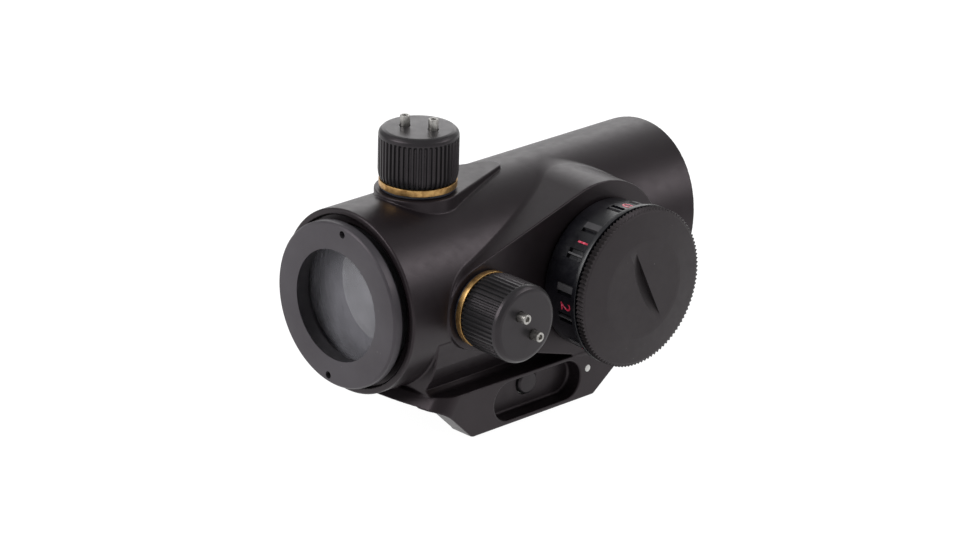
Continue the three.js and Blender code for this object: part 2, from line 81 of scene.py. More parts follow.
# Tube
TUBE_R = 15.0
TUBE_EDGE = 0.3
REAR_Y = -30.7
FRONT_Y = 30.7
FRONT_SLANT = 0.25
BORE_R = 11.6
BORE_EDGE = 0.2
REAR_SEAT_R = 12.4
REAR_SEAT_Y = -26.3
RIM_GROOVE_R = 13.9
RIM_GROOVE_DEPTH = 1.0
HOOD_R = 13.3
HOOD_SEAT_Y = 21.0
SIDE_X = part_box("main_housing")[1][0] / MM
SIDE_EDGE = 0.22  # small rounding of machined edges
BOSS_INNER_X = 2
BOSS_FILLET = 0.35

# Rear ring and its spanner holes
RING_R = 13.5
RING_BORE_R = 9.06
RING_THREAD_R = 12.15
RING_BEVEL = 0.3
RING_FACE_Y = -33.34
RING_BACK_Y = -31.7  # the tapered back starts here, where no grazing light reaches it; faces behind it get the darker inner material as painted shade
RING_PAINTED_SHADE_FACING_IN = -0.2  # faces that point inwards by more than this get the darker inner material, as painted shade
SPANNER_HOLE_R = 0.6
SPANNER_HOLE_FLOOR_Y = -32.3
SPANNER_CIRCLE_R = 12.25
SPANNER_HOLES_AT = (84, 263)  # degrees round the optical axis

# Turrets
TURRET_Y = middle("elevation_cap", 1) / MM
PAD_Z = 15.6
PAD_R = 6.9
PAD_NOSE_R = 1.6
PAD_NOSE_Y = -0.6
PAD_ROOT_Z = 8
PAD_EDGE = 0.2
PAD_FILLET = 0.12
TURRET_HOLE_R = 4.9
TURRET_HOLE_END = 5  # distance of the hole's inner end from the optical axis
TURRET_GAP = 0.5
BRASS_R = 6.19
BRASS_H = 1.08
NECK_R = 4.5
NECK_TOP = 5.6
CAP_R = 6.36
CAP_FACE_R = 5.9
CAP_BOTTOM = 1.2
CAP_TOP = 9.4
CAP_CAVITY_R = 4.8
CAP_SKIRT_R = 5.75  # the wider bore at the bottom, round the seal
FLUTES = 48
FLUTE_DEPTH = 0.3
FLUTE_RUN_OUT = 0.35
PIN_R = 0.8
PIN_H = 1.7
PIN_SPACING = 4.7
PIN_HOLE_R = 0.9
PIN_HOLE_FLOOR = 8.0
ELEVATION_PINS = 27  # direction of the line through a cap's two pins, in degrees
WINDAGE_PINS = 38

# Dial and battery
DIAL_Y = middle("brightness_dial", 1) / MM
DIAL_Z = middle("brightness_dial", 2) / MM - AXIS
DIAL_BOSS_R = 14.5
WINDAGE_BOSS_R = 7.1
DIAL_BASE_X = 15.4
DIAL_R = 12.2
DIAL_WIDE_R = 12.5
DIAL_CONE_TOP_X = 22.0
DIAL_FLANGE_R = 13.15
DIAL_TOP_X = 23.2
DIAL_BORE_R = 10.1
DIAL_CAVITY_R = 11.1
DIAL_CAVITY_X = 16.4
DIAL_RECESS_R = 11.95
DIAL_RECESS_X = 22.35
RIM_R = 13.15
RIM_TEETH = 112
RIM_TOOTH = 0.4
RIM_BOTTOM_X = 23.5
RIM_TOP_X = 24.9
FACE_TOP_X = 25.5  # the face rises from the rim to a flat disc
FACE_DISC_R = 8.2
CAP_THREAD_R = 10.9
CAP_INNER_R = 10.3
CELL_R = 10.0
COIN_SLOT_L = 12.9
COIN_SLOT_W = 2.0
COIN_SLOT_DEPTH = 0.85
COIN_SLOT_LIFT = 0.8  # how far the cutting ball's middle stands out, as a share of its radius
COIN_SLOT_EDGE = 1.12  # the slot's straight wall, from the dial axis
COIN_SLOT_SHIFT = 0.17  # along the slot
COIN_SLOT_TURN = 26.2
NUMERALS = "0123456"
NUMERAL_STEP = 50  # degrees round the dial
FIRST_NUMERAL = 86.1  # degrees from +Y towards +Z
NUMERALS_AT = [FIRST_NUMERAL + NUMERAL_STEP * k for k in range(len(NUMERALS))]
NUMERAL_X = 20.4
NUMERAL_SIZE = 3.1
NUMERAL_HALF_THICK = 0.1
NUMERAL_SINK = 0.06  # how far the paint's middle lies under the sleeve's surface
BAR_X = (18.6, 22.35)
BAR_ROOT = 0.1  # how far a bar reaches into its groove's floor
WIDE_BAR_AT = -14.4  # degrees from the numeral
WIDE_BAR_W = 1.1
WIDE_BAR_TOP = 0.16  # heights from the sleeve's surface
WIDE_GROOVE_AT = -13.0
WIDE_GROOVE_W = 1.9
WIDE_GROOVE_DEPTH = 0.5
THIN_BAR_AT = 10.0
THIN_BAR_W = 0.3
THIN_BAR_TOP = -0.05
THIN_GROOVE_W = 1.7
THIN_GROOVE_DEPTH = 0.6
GROOVE_CUT_TOP = 0.9  # the cutters stand out of the sleeve by this
INDEX_DOT_R = 0.66
INDEX_DOT_Y = 7.6
INDEX_DOT_Z = -16.9

# Clamp foot
FOOT_TOP_Z = -13.8
FOOT_REAR_Y = -27.0  # at the rail seat, on the centre line
FOOT_REAR_ARC = 48.0  # radius of the rear end, seen from above
FOOT_REAR_LEAN = 0.6  # the rear end leans forward this much per millimetre of height
FOOT_BEND = (-23.6, -16.1)  # the underside of the rear end bends down here
FOOT_CORNER_R = 2.5
FOOT_EDGE = 0.25
FOOT_FILLET = 0.3
FOOT_FRONT_TOP_Y = 19.8
FOOT_OUTER_Z = -21.75
LIP_TIP_Z = -22.7
LIP_FLAT_X = 12.0  # the underside of each lip rises outside this
LIP_REAR_Y = -16.75
LIP_FRONT_Y = 7.9
SEAT_EDGE_X = -10.7  # the seat ends here, beside the movable jaw
JAW_SHOULDER_X = -11.8
JAW_INNER_X = 8.5
JAW_DROP = 0.4  # the jaw's shoulder lies this much below the rail seat
JAW_BOLT_CLEARANCE = 0.3
WEB_REAR_Y = -24.6
WEB_DEEP_REAR_Y = -20.0  # in front of this the web reaches down to the rail seat
WEB_FRONT_Y = 18.5
WEB_FLANK = [(14.25, -4.7), (13.9, -6.8), (13.5, -8.9), (12.6, -11.1), (11.5, -13.0)]  # (x, z) down its side
WEB_OVERLAP = 0.2  # how far the web reaches into the foot
WEB_CORNER = 0.15
WEB_EDGE = 0.1
CHANNEL_EDGE = 0.2
CHANNEL_HALF = 10.75
LIP_HALF = 9.25
LIP_TOP_Z = LIP_TIP_Z + CHANNEL_HALF - LIP_HALF
BOLT_Y = -3.5
BOLT_Z = -17.0
BOLT_R = 2.0
BOLT_CLEARANCE = 0.14
BOLT_END = 12.9
HOLE_EDGE = 0.1
KNOB_R = 4.6
KNOB_OUT = -20.9
KNOB_IN = -16.2
KNURL_OUT = -20.3
KNURL_IN = -16.8
KNURL_TEETH = 28
KNURL_DEPTH = 0.3
POCKET_R = 3.25
POCKET_REACH = 6.2
POCKET_Z = -17.8
POCKET_FLOOR_X = 12.3
POCKET_FLOOR_R = 0.5
POCKET_EDGE = 0.25
ABOVE_FOOT = -10  # heights and a side well clear of the foot, where cutting outlines end
BELOW_FOOT = -30
PAST_SIDE = -20

# Front ring
FRONT_RING_BORE_R = 11.3
FRONT_RING_R = 13.1
FRONT_RING_Y = (24.2, 26.6)
NOTCH_FLOOR_Y = 25.6
NOTCH_HALF_W = 0.8

# Inner optical unit
INNER_R = 9.8
INNER_BORE_R = 9.0
INNER_REAR_Y = -25.0
INNER_FRONT_Y = 19.6
LENS_SHELF_R = 8.1
LENS_SHELF_Y = (12.6, 14.2)
LED_X = 6.9
GIMBAL_Y = 16.5
GIMBAL_HOLE_R = 0.75

# Fine surfaces
STEP = 0.25
HOUSING_TRIANGLES = 190000
JAW_TRIANGLES = 30000
SEGMENTS = 128  # round a turned piece
SOFT_EDGE = 0.12  # radius of a turned piece's edges
SHARP_ANGLE = 32  # edges bent by more degrees than this are drawn sharp

# ---- Local frames: local Z is each turned piece's own axis, in millimetres ----


def local_frame(x, y, z, turn=None):
    """Matrix from millimetres in a local frame to metres in the row frame."""
    place = Matrix.Scale(MM, 4) @ Matrix.Translation((x, y, z + AXIS))
    return place @ turn if turn is not None else place


TO_Y = Matrix.Rotation(-math.pi / 2, 4, "X")
TO_X = Matrix.Rotation(math.pi / 2, 4, "Y")
FINDER = local_frame(0, 0, 0)
OPTICAL = local_frame(0, 0, 0, TO_Y)
GIMBAL = local_frame(0, GIMBAL_Y, 0)
ELEVATION = local_frame(0, TURRET_Y, PAD_Z + TURRET_GAP)
WINDAGE = local_frame(SIDE_X + TURRET_GAP, TURRET_Y, 0, TO_X)
DIAL = local_frame(0, DIAL_Y, DIAL_Z, TO_X)
CLAMP = local_frame(0, BOLT_Y, BOLT_Z, TO_X)

# ---- Materials ----

NOISE_LOW = 0.3  # nearly all of a noise lies between these two
NOISE_HIGH = 0.7
DUST = (0.55, 0.54, 0.53)
DUST_FILM = (0.62, 0.61, 0.67, 1)
ANODISED_IOR = 1.38
ANODISED_TINT = (1.0, 0.86, 0.93, 1)
PLASTIC_IOR = 1.5


class Nodes:
    """A material's node tree, with short calls to add and join nodes."""

    def __init__(self, name):
        self.material = bpy.data.materials.new(name)
        self.material.use_nodes = True
        self.tree = self.material.node_tree
        self.shader = self.tree.nodes["Principled BSDF"]
        self.place = self.add("ShaderNodeTexCoord").outputs["Object"]

    def add(self, kind, **settings):
        """New node. Each setting goes to the socket of that name, or else to the node itself."""
        node = self.tree.nodes.new(kind)
        for key, value in settings.items():
            if key in node.inputs:
                node.inputs[key].default_value = value
            else:
                setattr(node, key, value)
        return node

    def join(self, output, target):
        self.tree.links.new(output, target)

    def noise(self, grain_mm, detail=3.0):
        """Noise from 0 to 1 whose features are about grain_mm across."""
        mapping = self.add("ShaderNodeMapping")
        mapping.inputs["Scale"].default_value = [1 / (grain_mm * MM)] * 3
        noise = self.add("ShaderNodeTexNoise", Scale=1.0, Detail=detail, Roughness=0.55)
        self.join(self.place, mapping.inputs["Vector"])
        self.join(mapping.outputs["Vector"], noise.inputs["Vector"])
        return noise.outputs["Fac"]

    def ramp(self, value, low, high, start=0.0, end=1.0):
        """Value from start to end as the input goes from low to high."""
        node = self.add("ShaderNodeMapRange")
        for key, number in (("From Min", low), ("From Max", high), ("To Min", start), ("To Max", end)):
            node.inputs[key].default_value = number
        self.join(value, node.inputs["Value"])
        return node.outputs["Result"]

    def varied(self, start, end, grain_mm, detail=3.0):
        """Value that wanders from start to end in patches about grain_mm across."""
        return self.ramp(self.noise(grain_mm, detail), NOISE_LOW, NOISE_HIGH, start, end)

    def mix(self, share, first, second):
        """Colour between two, each a plain colour or an earlier output."""
        node = self.add("ShaderNodeMix", data_type="RGBA")
        self.join(share, node.inputs["Factor"])
        for socket, colour in ((node.inputs[6], first), (node.inputs[7], second)):
            if isinstance(colour, bpy.types.NodeSocket):
                self.join(colour, socket)
            else:
                socket.default_value = (*colour, 1)
        return node.outputs[2]

    def bump(self, height, depth_mm, strength):
        """Normal of a surface with this height on it."""
        node = self.add("ShaderNodeBump", Strength=strength, Distance=depth_mm * MM)
        self.join(height, node.inputs["Height"])
        return node.outputs["Normal"]

    def finish(self, colour, roughness, normal=None, **constants):
        """Joins the outputs to the shader, sets its constants, and gives the material."""
        for output, key in ((colour, "Base Color"), (roughness, "Roughness"), (normal, "Normal")):
            if output is not None:
                self.join(output, self.shader.inputs[key])
        for key, value in constants.items():
            self.shader.inputs[key.replace("_", " ")].default_value = value
        return self.material


def anodised(name, colour, worn, roughness, grain=0.16, specks=0.0):
    """Blasted and anodised aluminium: fine grain, faint cloudiness, and a few pale specks of dust."""
    n = Nodes(name)
    cloud = n.ramp(n.noise(7.0, 4.0), 0.35, 0.68)
    base = n.mix(cloud, colour, worn)
    if specks:
        dust = n.ramp(n.noise(0.42, 1.0), 0.815, 0.83, 0.0, specks)
        base = n.mix(dust, base, DUST)
    fine = n.noise(grain, 2.0)
    rough = n.varied(roughness - 0.035, roughness + 0.035, 1.6)
    normal = n.bump(fine, depth_mm=0.006, strength=0.35)
    return n.finish(base, rough, normal, Metallic=0.0, IOR=ANODISED_IOR, Specular_Tint=ANODISED_TINT)


def turned_metal(name, colour, tarnish, roughness):
    """Bare machined metal with a fine grain and uneven tarnish."""
    n = Nodes(name)
    stain = n.ramp(n.noise(0.9, 5.0), 0.42, 0.66)
    base = n.mix(stain, colour, tarnish)
    grain = n.noise(0.22)
    rough = n.varied(roughness - 0.06, roughness + 0.1, 0.5)
    normal = n.bump(grain, depth_mm=0.008, strength=0.5)
    return n.finish(base, rough, normal, Metallic=1.0)


def moulded(name, colour, worn, roughness, grain=0.25, depth=0.006):
    """Moulded plastic or rubber with a fine matt texture."""
    n = Nodes(name)
    base = n.mix(n.ramp(n.noise(4.0, 4.0), 0.35, 0.7), colour, worn)
    rough = n.varied(roughness - 0.05, roughness + 0.05, 0.9, 2.0)
    normal = n.bump(n.noise(grain, 2.0), depth_mm=depth, strength=0.5)
    return n.finish(base, rough, normal, IOR=PLASTIC_IOR)


def glazing(name, tint, haze, index=1.5):
    """Polished glass with a faint film of dust that shows as a grey haze."""
    n = Nodes(name)
    n.tree.nodes.remove(n.shader)
    clear = n.add("ShaderNodeBsdfTransparent")
    clear.inputs["Color"].default_value = (*tint, 1)
    gloss = n.add("ShaderNodeBsdfGlossy", Roughness=0.03)
    film = n.add("ShaderNodeBsdfDiffuse")
    film.inputs["Color"].default_value = DUST_FILM
    dusty = n.add("ShaderNodeMixShader")
    share = n.ramp(n.noise(2.6, 4.0), 0.3, 0.75, haze * 0.8, haze * 1.25)
    n.join(share, dusty.inputs["Fac"])
    n.join(clear.outputs[0], dusty.inputs[1])
    n.join(film.outputs[0], dusty.inputs[2])
    mirror = n.add("ShaderNodeMixShader")
    n.join(n.add("ShaderNodeFresnel", IOR=index).outputs[0], mirror.inputs["Fac"])
    n.join(dusty.outputs[0], mirror.inputs[1])
    n.join(gloss.outputs[0], mirror.inputs[2])
    n.join(mirror.outputs[0], n.tree.nodes["Material Output"].inputs["Surface"])
    return n.material


def numeral_paint():
    """Red enamel, with the paler parts where it is thin."""
    n = Nodes("numeral_paint")
    thin = n.ramp(n.noise(0.5, 3.0), 0.45, 0.62)
    base = n.mix(thin, (0.42, 0.012, 0.04), (0.7, 0.10, 0.17))
    return n.finish(base, n.varied(0.25, 0.4, 0.3), IOR=PLASTIC_IOR)


BODY_BLACK = anodised("body_black", (0.0060, 0.0044, 0.0052), (0.0090, 0.0069, 0.0079), 0.38)
RING_BLACK = anodised("ring_black", (0.033, 0.031, 0.035), (0.043, 0.041, 0.046), 0.42, specks=0.4)
CAP_BLACK = anodised("cap_black", (0.010, 0.010, 0.0105), (0.015, 0.015, 0.016), 0.33, grain=0.1)
FACE_BLACK = anodised("battery_cap_black", (0.0125, 0.0112, 0.0116), (0.016, 0.0145, 0.015), 0.5,
                      grain=0.3, specks=0.2)
INNER_BLACK = anodised("inner_black", (0.01, 0.01, 0.011), (0.02, 0.02, 0.022), 0.45, grain=0.3)
DIAL_BLACK = moulded("dial_black", (0.0015, 0.0015, 0.003), (0.004, 0.004, 0.0065), 0.34,
                     grain=0.3, depth=0.014)
# Paler grey for the dial's bars: a painted highlight where their tops catch the light
DIAL_BAR_PAINTED_HIGHLIGHT = moulded("dial_bar_painted_highlight", (0.032, 0.031, 0.034), (0.05, 0.048, 0.052), 0.5, depth=0.01)
BRASS = turned_metal("brass", (0.50, 0.31, 0.12), (0.26, 0.14, 0.05), 0.36)
STEEL = turned_metal("steel", (0.42, 0.41, 0.39), (0.22, 0.21, 0.20), 0.36)
RUBBER = moulded("seal_rubber", (0.012, 0.014, 0.022), (0.02, 0.022, 0.03), 0.5)
BOARD = moulded("board_green", (0.012, 0.12, 0.05), (0.02, 0.17, 0.07), 0.35)
LED_RED = moulded("led_red", (0.55, 0.01, 0.01), (0.7, 0.03, 0.02), 0.15)
WHITE = moulded("white_enamel", (0.82, 0.82, 0.8), (0.62, 0.62, 0.6), 0.35, grain=0.2, depth=0.02)
RED = numeral_paint()
REAR_GLASS = glazing("rear_glass", (0.93, 0.93, 0.95), 0.2)
WINDOW_GLASS = glazing("window_glass", (0.93, 0.94, 0.97), 0.06)
LENS_GLASS = glazing("lens_glass", (0.86, 0.90, 0.97), 0.12, index=1.7)

# ---- Mesh building ----


BOX_FACES = [(0, 1, 3, 2), (4, 6, 7, 5), (0, 4, 5, 1), (2, 3, 7, 6), (0, 2, 6, 4), (1, 5, 7, 3)]


def settle(name, mesh, material, body, node, sharp=SHARP_ANGLE):
    """Adds a finished mesh as a piece that rides on a body and stands for one CAD node or a list of them."""
    mesh.shade_smooth()
    if sharp:
        mesh.set_sharp_from_angle(angle=math.radians(sharp))
    mesh.materials.clear()
    mesh.materials.append(material)
    piece = bpy.data.objects.new(name, mesh)
    bpy.context.scene.collection.objects.link(piece)
    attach(piece, body)
    stood_for = [node] if isinstance(node, str) else list(node)
    if stood_for:
        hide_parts(*stood_for)
    return piece


def soften(points, radius, closed=True, steps=3):
    """The outline with its corners replaced by short curves of one radius, or of a radius for each corner."""
    result = []
    count = len(points)
    for i, corner in enumerate(points):
        if not closed and i in (0, count - 1):
            result.append(tuple(corner))
            continue
        here = Vector(corner)
        before = Vector(points[i - 1]) - here
        after = Vector(points[(i + 1) % count]) - here
        size = radius[i] if isinstance(radius, (list, tuple)) else radius
        reach_in = min(size, 0.45 * before.length)
        reach_out = min(size, 0.45 * after.length)
        if size <= 0:
            result.append(tuple(corner))
            continue
        start = here + before.normalized() * reach_in
        end = here + after.normalized() * reach_out
        for k in range(steps + 1):
            t = k / steps
            point = (1 - t) ** 2 * start + 2 * (1 - t) * t * here + t * t * end
            result.append(tuple(point))
    return result


def lathe(profile, place, segments=SEGMENTS, soft=SOFT_EDGE, ripple=None):
    """Mesh of (radius, height) pairs turned about local Z.

    A profile that starts on the axis ends on it too. ripple(angle, radius, height) gives how much is cut off
    the radius there.
    """
    on_axis = profile[0][0] == 0
    outline = soften(profile, soft, closed=not on_axis) if soft else list(profile)
    angle = np.linspace(0, 2 * math.pi, segments, endpoint=False)
    points, rings = [], []
    for radius, height in outline:
        if radius < 1e-9:
            rings.append([len(points)])
            points.append((0, 0, height))
            continue
        rings.append(range(len(points), len(points) + segments))
        cut = ripple(angle, radius, height) if ripple else 0.0
        reach = radius - cut + 0 * angle
        points += list(zip(reach * np.cos(angle), reach * np.sin(angle), [height] * segments))
    pairs = list(zip(rings, rings[1:])) + ([] if on_axis else [(rings[-1], rings[0])])
    faces = []
    for lower, upper in pairs:
        for i in range(segments):
            j = (i + 1) % segments
            if len(lower) == 1 and len(upper) == 1:
                break
            if len(lower) == 1:
                faces.append((lower[0], upper[i], upper[j]))
            elif len(upper) == 1:
                faces.append((lower[i], lower[j], upper[0]))
            else:
                faces.append((lower[i], lower[j], upper[j], upper[i]))
    return solid(points, faces, place)


def band(inner, outer, low, high):
    """Profile of a plain ring, or of a disc when the inner radius is 0."""
    return [(inner, low), (outer, low), (outer, high), (inner, high)]


def solid(points, faces, place):
    """Mesh from points in a local frame, with its faces turned outwards."""
    mesh = bpy.data.meshes.new("piece")
    mesh.from_pydata([tuple(p) for p in points], [], [tuple(f) for f in faces])
    mesh.transform(place)
    work = bmesh.new()
    work.from_mesh(mesh)
    bmesh.ops.recalc_face_normals(work, faces=work.faces)
    if work.calc_volume(signed=True) < 0:
        bmesh.ops.reverse_faces(work, faces=work.faces)
    work.to_mesh(mesh)
    work.free()
    return mesh


def evaluated(mesh, kind, **settings):
    """The mesh after one modifier."""
    holder = bpy.data.objects.new("holder", mesh)
    bpy.context.scene.collection.objects.link(holder)
    modifier = holder.modifiers.new("step", kind)
    for key, value in settings.items():
        setattr(modifier, key, value)
    graph = bpy.context.evaluated_depsgraph_get()
    result = bpy.data.meshes.new_from_object(holder.evaluated_get(graph))
    bpy.data.objects.remove(holder)
    return result


def carve(mesh, cutters, operation="DIFFERENCE"):
    """The mesh after a boolean operation with each cutter in turn."""
    for cutter in cutters:
        tool = bpy.data.objects.new("tool", cutter)
        bpy.context.scene.collection.objects.link(tool)
        mesh = evaluated(mesh, "BOOLEAN", operation=operation, solver="EXACT", object=tool)
        bpy.data.objects.remove(tool)
    return mesh


def block(low, high, place):
    """A plain box used as a cutter."""
    points = [(x, y, z) for x in (low[0], high[0]) for y in (low[1], high[1]) for z in (low[2], high[2])]
    return solid(points, BOX_FACES, place)


# ---- Solids given by distance, for machined bodies with soft edges and fillets ----


def union(a, b, fillet=0.0):
    """Distance to two solids together, with a fillet where they meet."""
    if not fillet:
        return np.minimum(a, b)
    corner = np.hypot(np.maximum(fillet - a, 0), np.maximum(fillet - b, 0))
    return np.maximum(fillet, np.minimum(a, b)) - corner


def common(a, b, rounding=0.0):
    """Distance to what two solids share, with its new edges rounded."""
    return -union(-a, -b, rounding)


def without(a, b, rounding=0.0):
    """Distance to the first solid with the second cut away."""
    return common(a, -b, rounding)


def belt(along, across, first, first_r, second, second_r):
    """Distance to the outline of a belt round two circles on one line."""
    length = second - first
    lean = (first_r - second_r) / length
    upright = math.sqrt(1 - lean * lean)
    side, up = np.abs(across), along - first
    reach = -lean * side + upright * up
    flank = upright * side + lean * up - first_r
    near = np.hypot(side, up) - first_r
    far = np.hypot(side, up - length) - second_r
    return np.where(reach < 0, near, np.where(reach > upright * length, far, flank))


def outline(points, u, v):
    """Distance to a closed outline, negative inside."""
    best = np.full(np.broadcast(u, v).shape, np.inf)
    inside = np.zeros(best.shape, bool)
    for (au, av), (bu, bv) in zip(points, points[1:] + points[:1]):
        eu, ev = bu - au, bv - av
        du, dv = u - au, v - av
        t = np.clip((du * eu + dv * ev) / (eu * eu + ev * ev), 0, 1)
        best = np.minimum(best, (du - eu * t) ** 2 + (dv - ev * t) ** 2)
        if ev:
            inside ^= ((av > v) != (bv > v)) & (du < eu * dv / ev)
    return np.where(inside, -1, 1) * np.sqrt(best)


def slope(field, points, reach=0.02):
    """Gradient of a distance at some points."""
    columns = []
    for axis in range(3):
        ahead, behind = points.copy(), points.copy()
        ahead[:, axis] += reach
        behind[:, axis] -= reach
        columns.append((field(*ahead.T) - field(*behind.T)) / (2 * reach))
    return np.stack(columns, 1)


def pull_to_surface(field, points, limit, rounds=3):
    """Moves points along the gradient to where the distance is zero, by at most the limit in each round."""
    for _ in range(rounds):
        gradient = slope(field, points)
        size = np.maximum((gradient ** 2).sum(1), 0.25)
        move = gradient * (field(*points.T) / size)[:, None]
        length = np.linalg.norm(move, axis=1, keepdims=True)
        points = points - move * np.minimum(1, limit / np.maximum(length, 1e-9))
    return points


def surface_net(field, low, high, step):
    """Points and four-sided faces where field(x, y, z) is zero, with one point in each grid cell there."""
    axes = [np.arange(a - 2 * step, b + 3 * step, step) for a, b in zip(low, high)]
    sparse = np.meshgrid(*axes, indexing="ij", sparse=True)
    shape = [len(a) for a in axes]
    value = np.ascontiguousarray(np.broadcast_to(field(*sparse), shape), dtype=np.float32)
    inside = value < 0
    cells = [n - 1 for n in shape]
    size = int(np.prod(cells))
    count, total, quads = np.zeros(size), np.zeros((3, size)), []
    for axis in range(3):
        lower = tuple(slice(None, -1) if k == axis else slice(None) for k in range(3))
        upper = tuple(slice(1, None) if k == axis else slice(None) for k in range(3))
        found = np.argwhere(inside[lower] != inside[upper])
        beyond = found.copy()
        beyond[:, axis] += 1
        a, b = value[tuple(found.T)], value[tuple(beyond.T)]
        point = [axes[k][found[:, k]] for k in range(3)]
        point[axis] = point[axis] + step * a / (a - b)
        u, v = (axis + 1) % 3, (axis + 2) % 3
        around = []
        for du, dv in ((0, 0), (-1, 0), (-1, -1), (0, -1)):
            near = found.copy()
            near[:, u] += du
            near[:, v] += dv
            flat = np.ravel_multi_index(near.T, cells)
            count += np.bincount(flat, minlength=size)
            for k in range(3):
                total[k] += np.bincount(flat, point[k], minlength=size)
            around.append(flat)
        quad = np.stack(around, 1)
        backwards = a > 0
        quad[backwards] = quad[backwards][:, ::-1]
        quads.append(quad)
    used = np.flatnonzero(count)
    number = np.zeros(size, int)
    number[used] = np.arange(len(used))
    return (total[:, used] / count[used]).T, number[np.concatenate(quads)]


def contour(field, low, high, step, triangles):
    """Mesh of the surface where field(x, y, z) is zero, thinned out where it is flat."""
    points, quads = surface_net(field, low, high, step)
    points = pull_to_surface(field, points, step)
    mesh = bpy.data.meshes.new("piece")
    mesh.from_pydata(points.tolist(), [], quads.tolist())
    share = triangles / (2 * len(quads))
    if share < 1:
        mesh = evaluated(mesh, "DECIMATE", ratio=share)
        points = np.array([v.co for v in mesh.vertices])
        points = pull_to_surface(field, points, step / 3, 1)
        mesh.vertices.foreach_set("co", points.astype(np.float32).ravel())
    normals = slope(field, points)
    normals /= np.maximum(np.linalg.norm(normals, axis=1, keepdims=True), 1e-9)
    mesh.transform(FINDER)
    mesh.update()
    mesh.shade_smooth()
    mesh.normals_split_custom_set_from_vertices(normals.tolist())
    return mesh


# ---- Main housing and clamp jaw ----

FOOT_CORNERS = [
    (FOOT_REAR_Y - 1, FOOT_TOP_Z), (FOOT_REAR_Y - 1, -AXIS), FOOT_BEND, (LIP_REAR_Y, LIP_TIP_Z),
    (LIP_FRONT_Y, LIP_TIP_Z), (FOOT_FRONT_TOP_Y, FOOT_TOP_Z),
]
FOOT_OUTLINE = soften(FOOT_CORNERS, [0.3, 0.2, 2.6, 2.0, 0.8, 0.5], steps=6)


def foot_rear(x, y, z):
    """Distance to a wide upright cone whose side is the foot's rear end."""
    out = np.hypot(x, y - FOOT_REAR_Y - FOOT_REAR_ARC) - FOOT_REAR_ARC + FOOT_REAR_LEAN * (z + AXIS)
    return out / math.hypot(1, FOOT_REAR_LEAN)


def foot_side(x, y, z, inner, outer):
    """Distance to one side of the foot, between two distances from the middle plane."""
    plan = common(np.maximum(x - outer, inner - x), foot_rear(x, y, z), FOOT_CORNER_R)
    return common(plan, outline(FOOT_OUTLINE, y, z), FOOT_EDGE)


def lip_section():
    """Corners under one lip, from the channel to the outer side."""
    below = 0.5
    rise = (SIDE_X - LIP_FLAT_X) / (FOOT_OUTER_Z - LIP_TIP_Z)
    return [
        (CHANNEL_HALF, LIP_TOP_Z), (LIP_HALF - below, LIP_TIP_Z - below),
        (LIP_FLAT_X - below * rise, LIP_TIP_Z - below), (SIDE_X, FOOT_OUTER_Z),
        (SIDE_X + 2, FOOT_OUTER_Z), (SIDE_X + 2, BELOW_FOOT),
    ]


def web_part(x, y, z, bottom, rear):
    """Distance to the body between the tube and the foot, from its rear end forward."""
    section = [
        *WEB_FLANK, (12.4, FOOT_TOP_Z - 0.1), (12.6, bottom), (SEAT_EDGE_X, bottom),
        *[(-u, v) for u, v in reversed(WEB_FLANK)],
    ]
    return common(outline(section, x, z), np.maximum(rear - y, y - WEB_FRONT_Y), WEB_CORNER)


def tube_outside(x, y, z):
    """Distance to the tube without its bores, with the side boss and the turret pad."""
    upright = 1 / math.hypot(1, FRONT_SLANT)
    ends = np.maximum(REAR_Y - y, (y - FRONT_Y - FRONT_SLANT * z) * upright)
    tube = common(np.hypot(x, z) - TUBE_R, ends, TUBE_EDGE)
    boss = belt(y, z, TURRET_Y, WINDAGE_BOSS_R, DIAL_Y, DIAL_BOSS_R)
    boss = common(boss, np.maximum(x - SIDE_X, BOSS_INNER_X - x), SIDE_EDGE)
    pad = belt(y, x, TURRET_Y, PAD_R, PAD_NOSE_Y, PAD_NOSE_R)
    pad = common(pad, np.maximum(z - PAD_Z, PAD_ROOT_Z - z), PAD_EDGE)
    return union(union(tube, boss, BOSS_FILLET), pad, PAD_FILLET)


def rail_channel(x, z):
    """Distance to the space for the rail, with the slope under the lip."""
    return outline([(PAST_SIDE, -AXIS), (CHANNEL_HALF, -AXIS), *lip_section(), (PAST_SIDE, BELOW_FOOT)], x, z)


def bolt_pocket(x, y, z):
    """Distance to the oblong pocket round the bolt's end."""
    pocket = belt(y, z - POCKET_Z, BOLT_Y - POCKET_REACH, POCKET_R, BOLT_Y + POCKET_REACH, POCKET_R)
    return common(pocket, POCKET_FLOOR_X - x, POCKET_FLOOR_R)


def bolt_hole(y, z, clearance):
    """Distance to the hole round the bolt's shank."""
    return np.hypot(y - BOLT_Y, z - BOLT_Z) - BOLT_R - clearance


def bores(x, y, z):
    """Distance to the tube's bore, the hood, the rear seat and the groove round the rear rim."""
    radius = np.hypot(x, z)
    bore = np.minimum(radius - BORE_R, np.maximum(radius - HOOD_R, HOOD_SEAT_Y - y))
    bore = np.minimum(bore, np.maximum(radius - REAR_SEAT_R, y - REAR_SEAT_Y))
    return np.minimum(bore, np.maximum(radius - RIM_GROOVE_R, y - REAR_Y - RIM_GROOVE_DEPTH))


def turret_hole(along, across, y):
    """Distance to a turret's round hole. Along is measured outwards from the optical axis."""
    floor_at = TURRET_HOLE_END - along + TURRET_HOLE_R
    return np.maximum(np.hypot(across, y - TURRET_Y), floor_at) - TURRET_HOLE_R


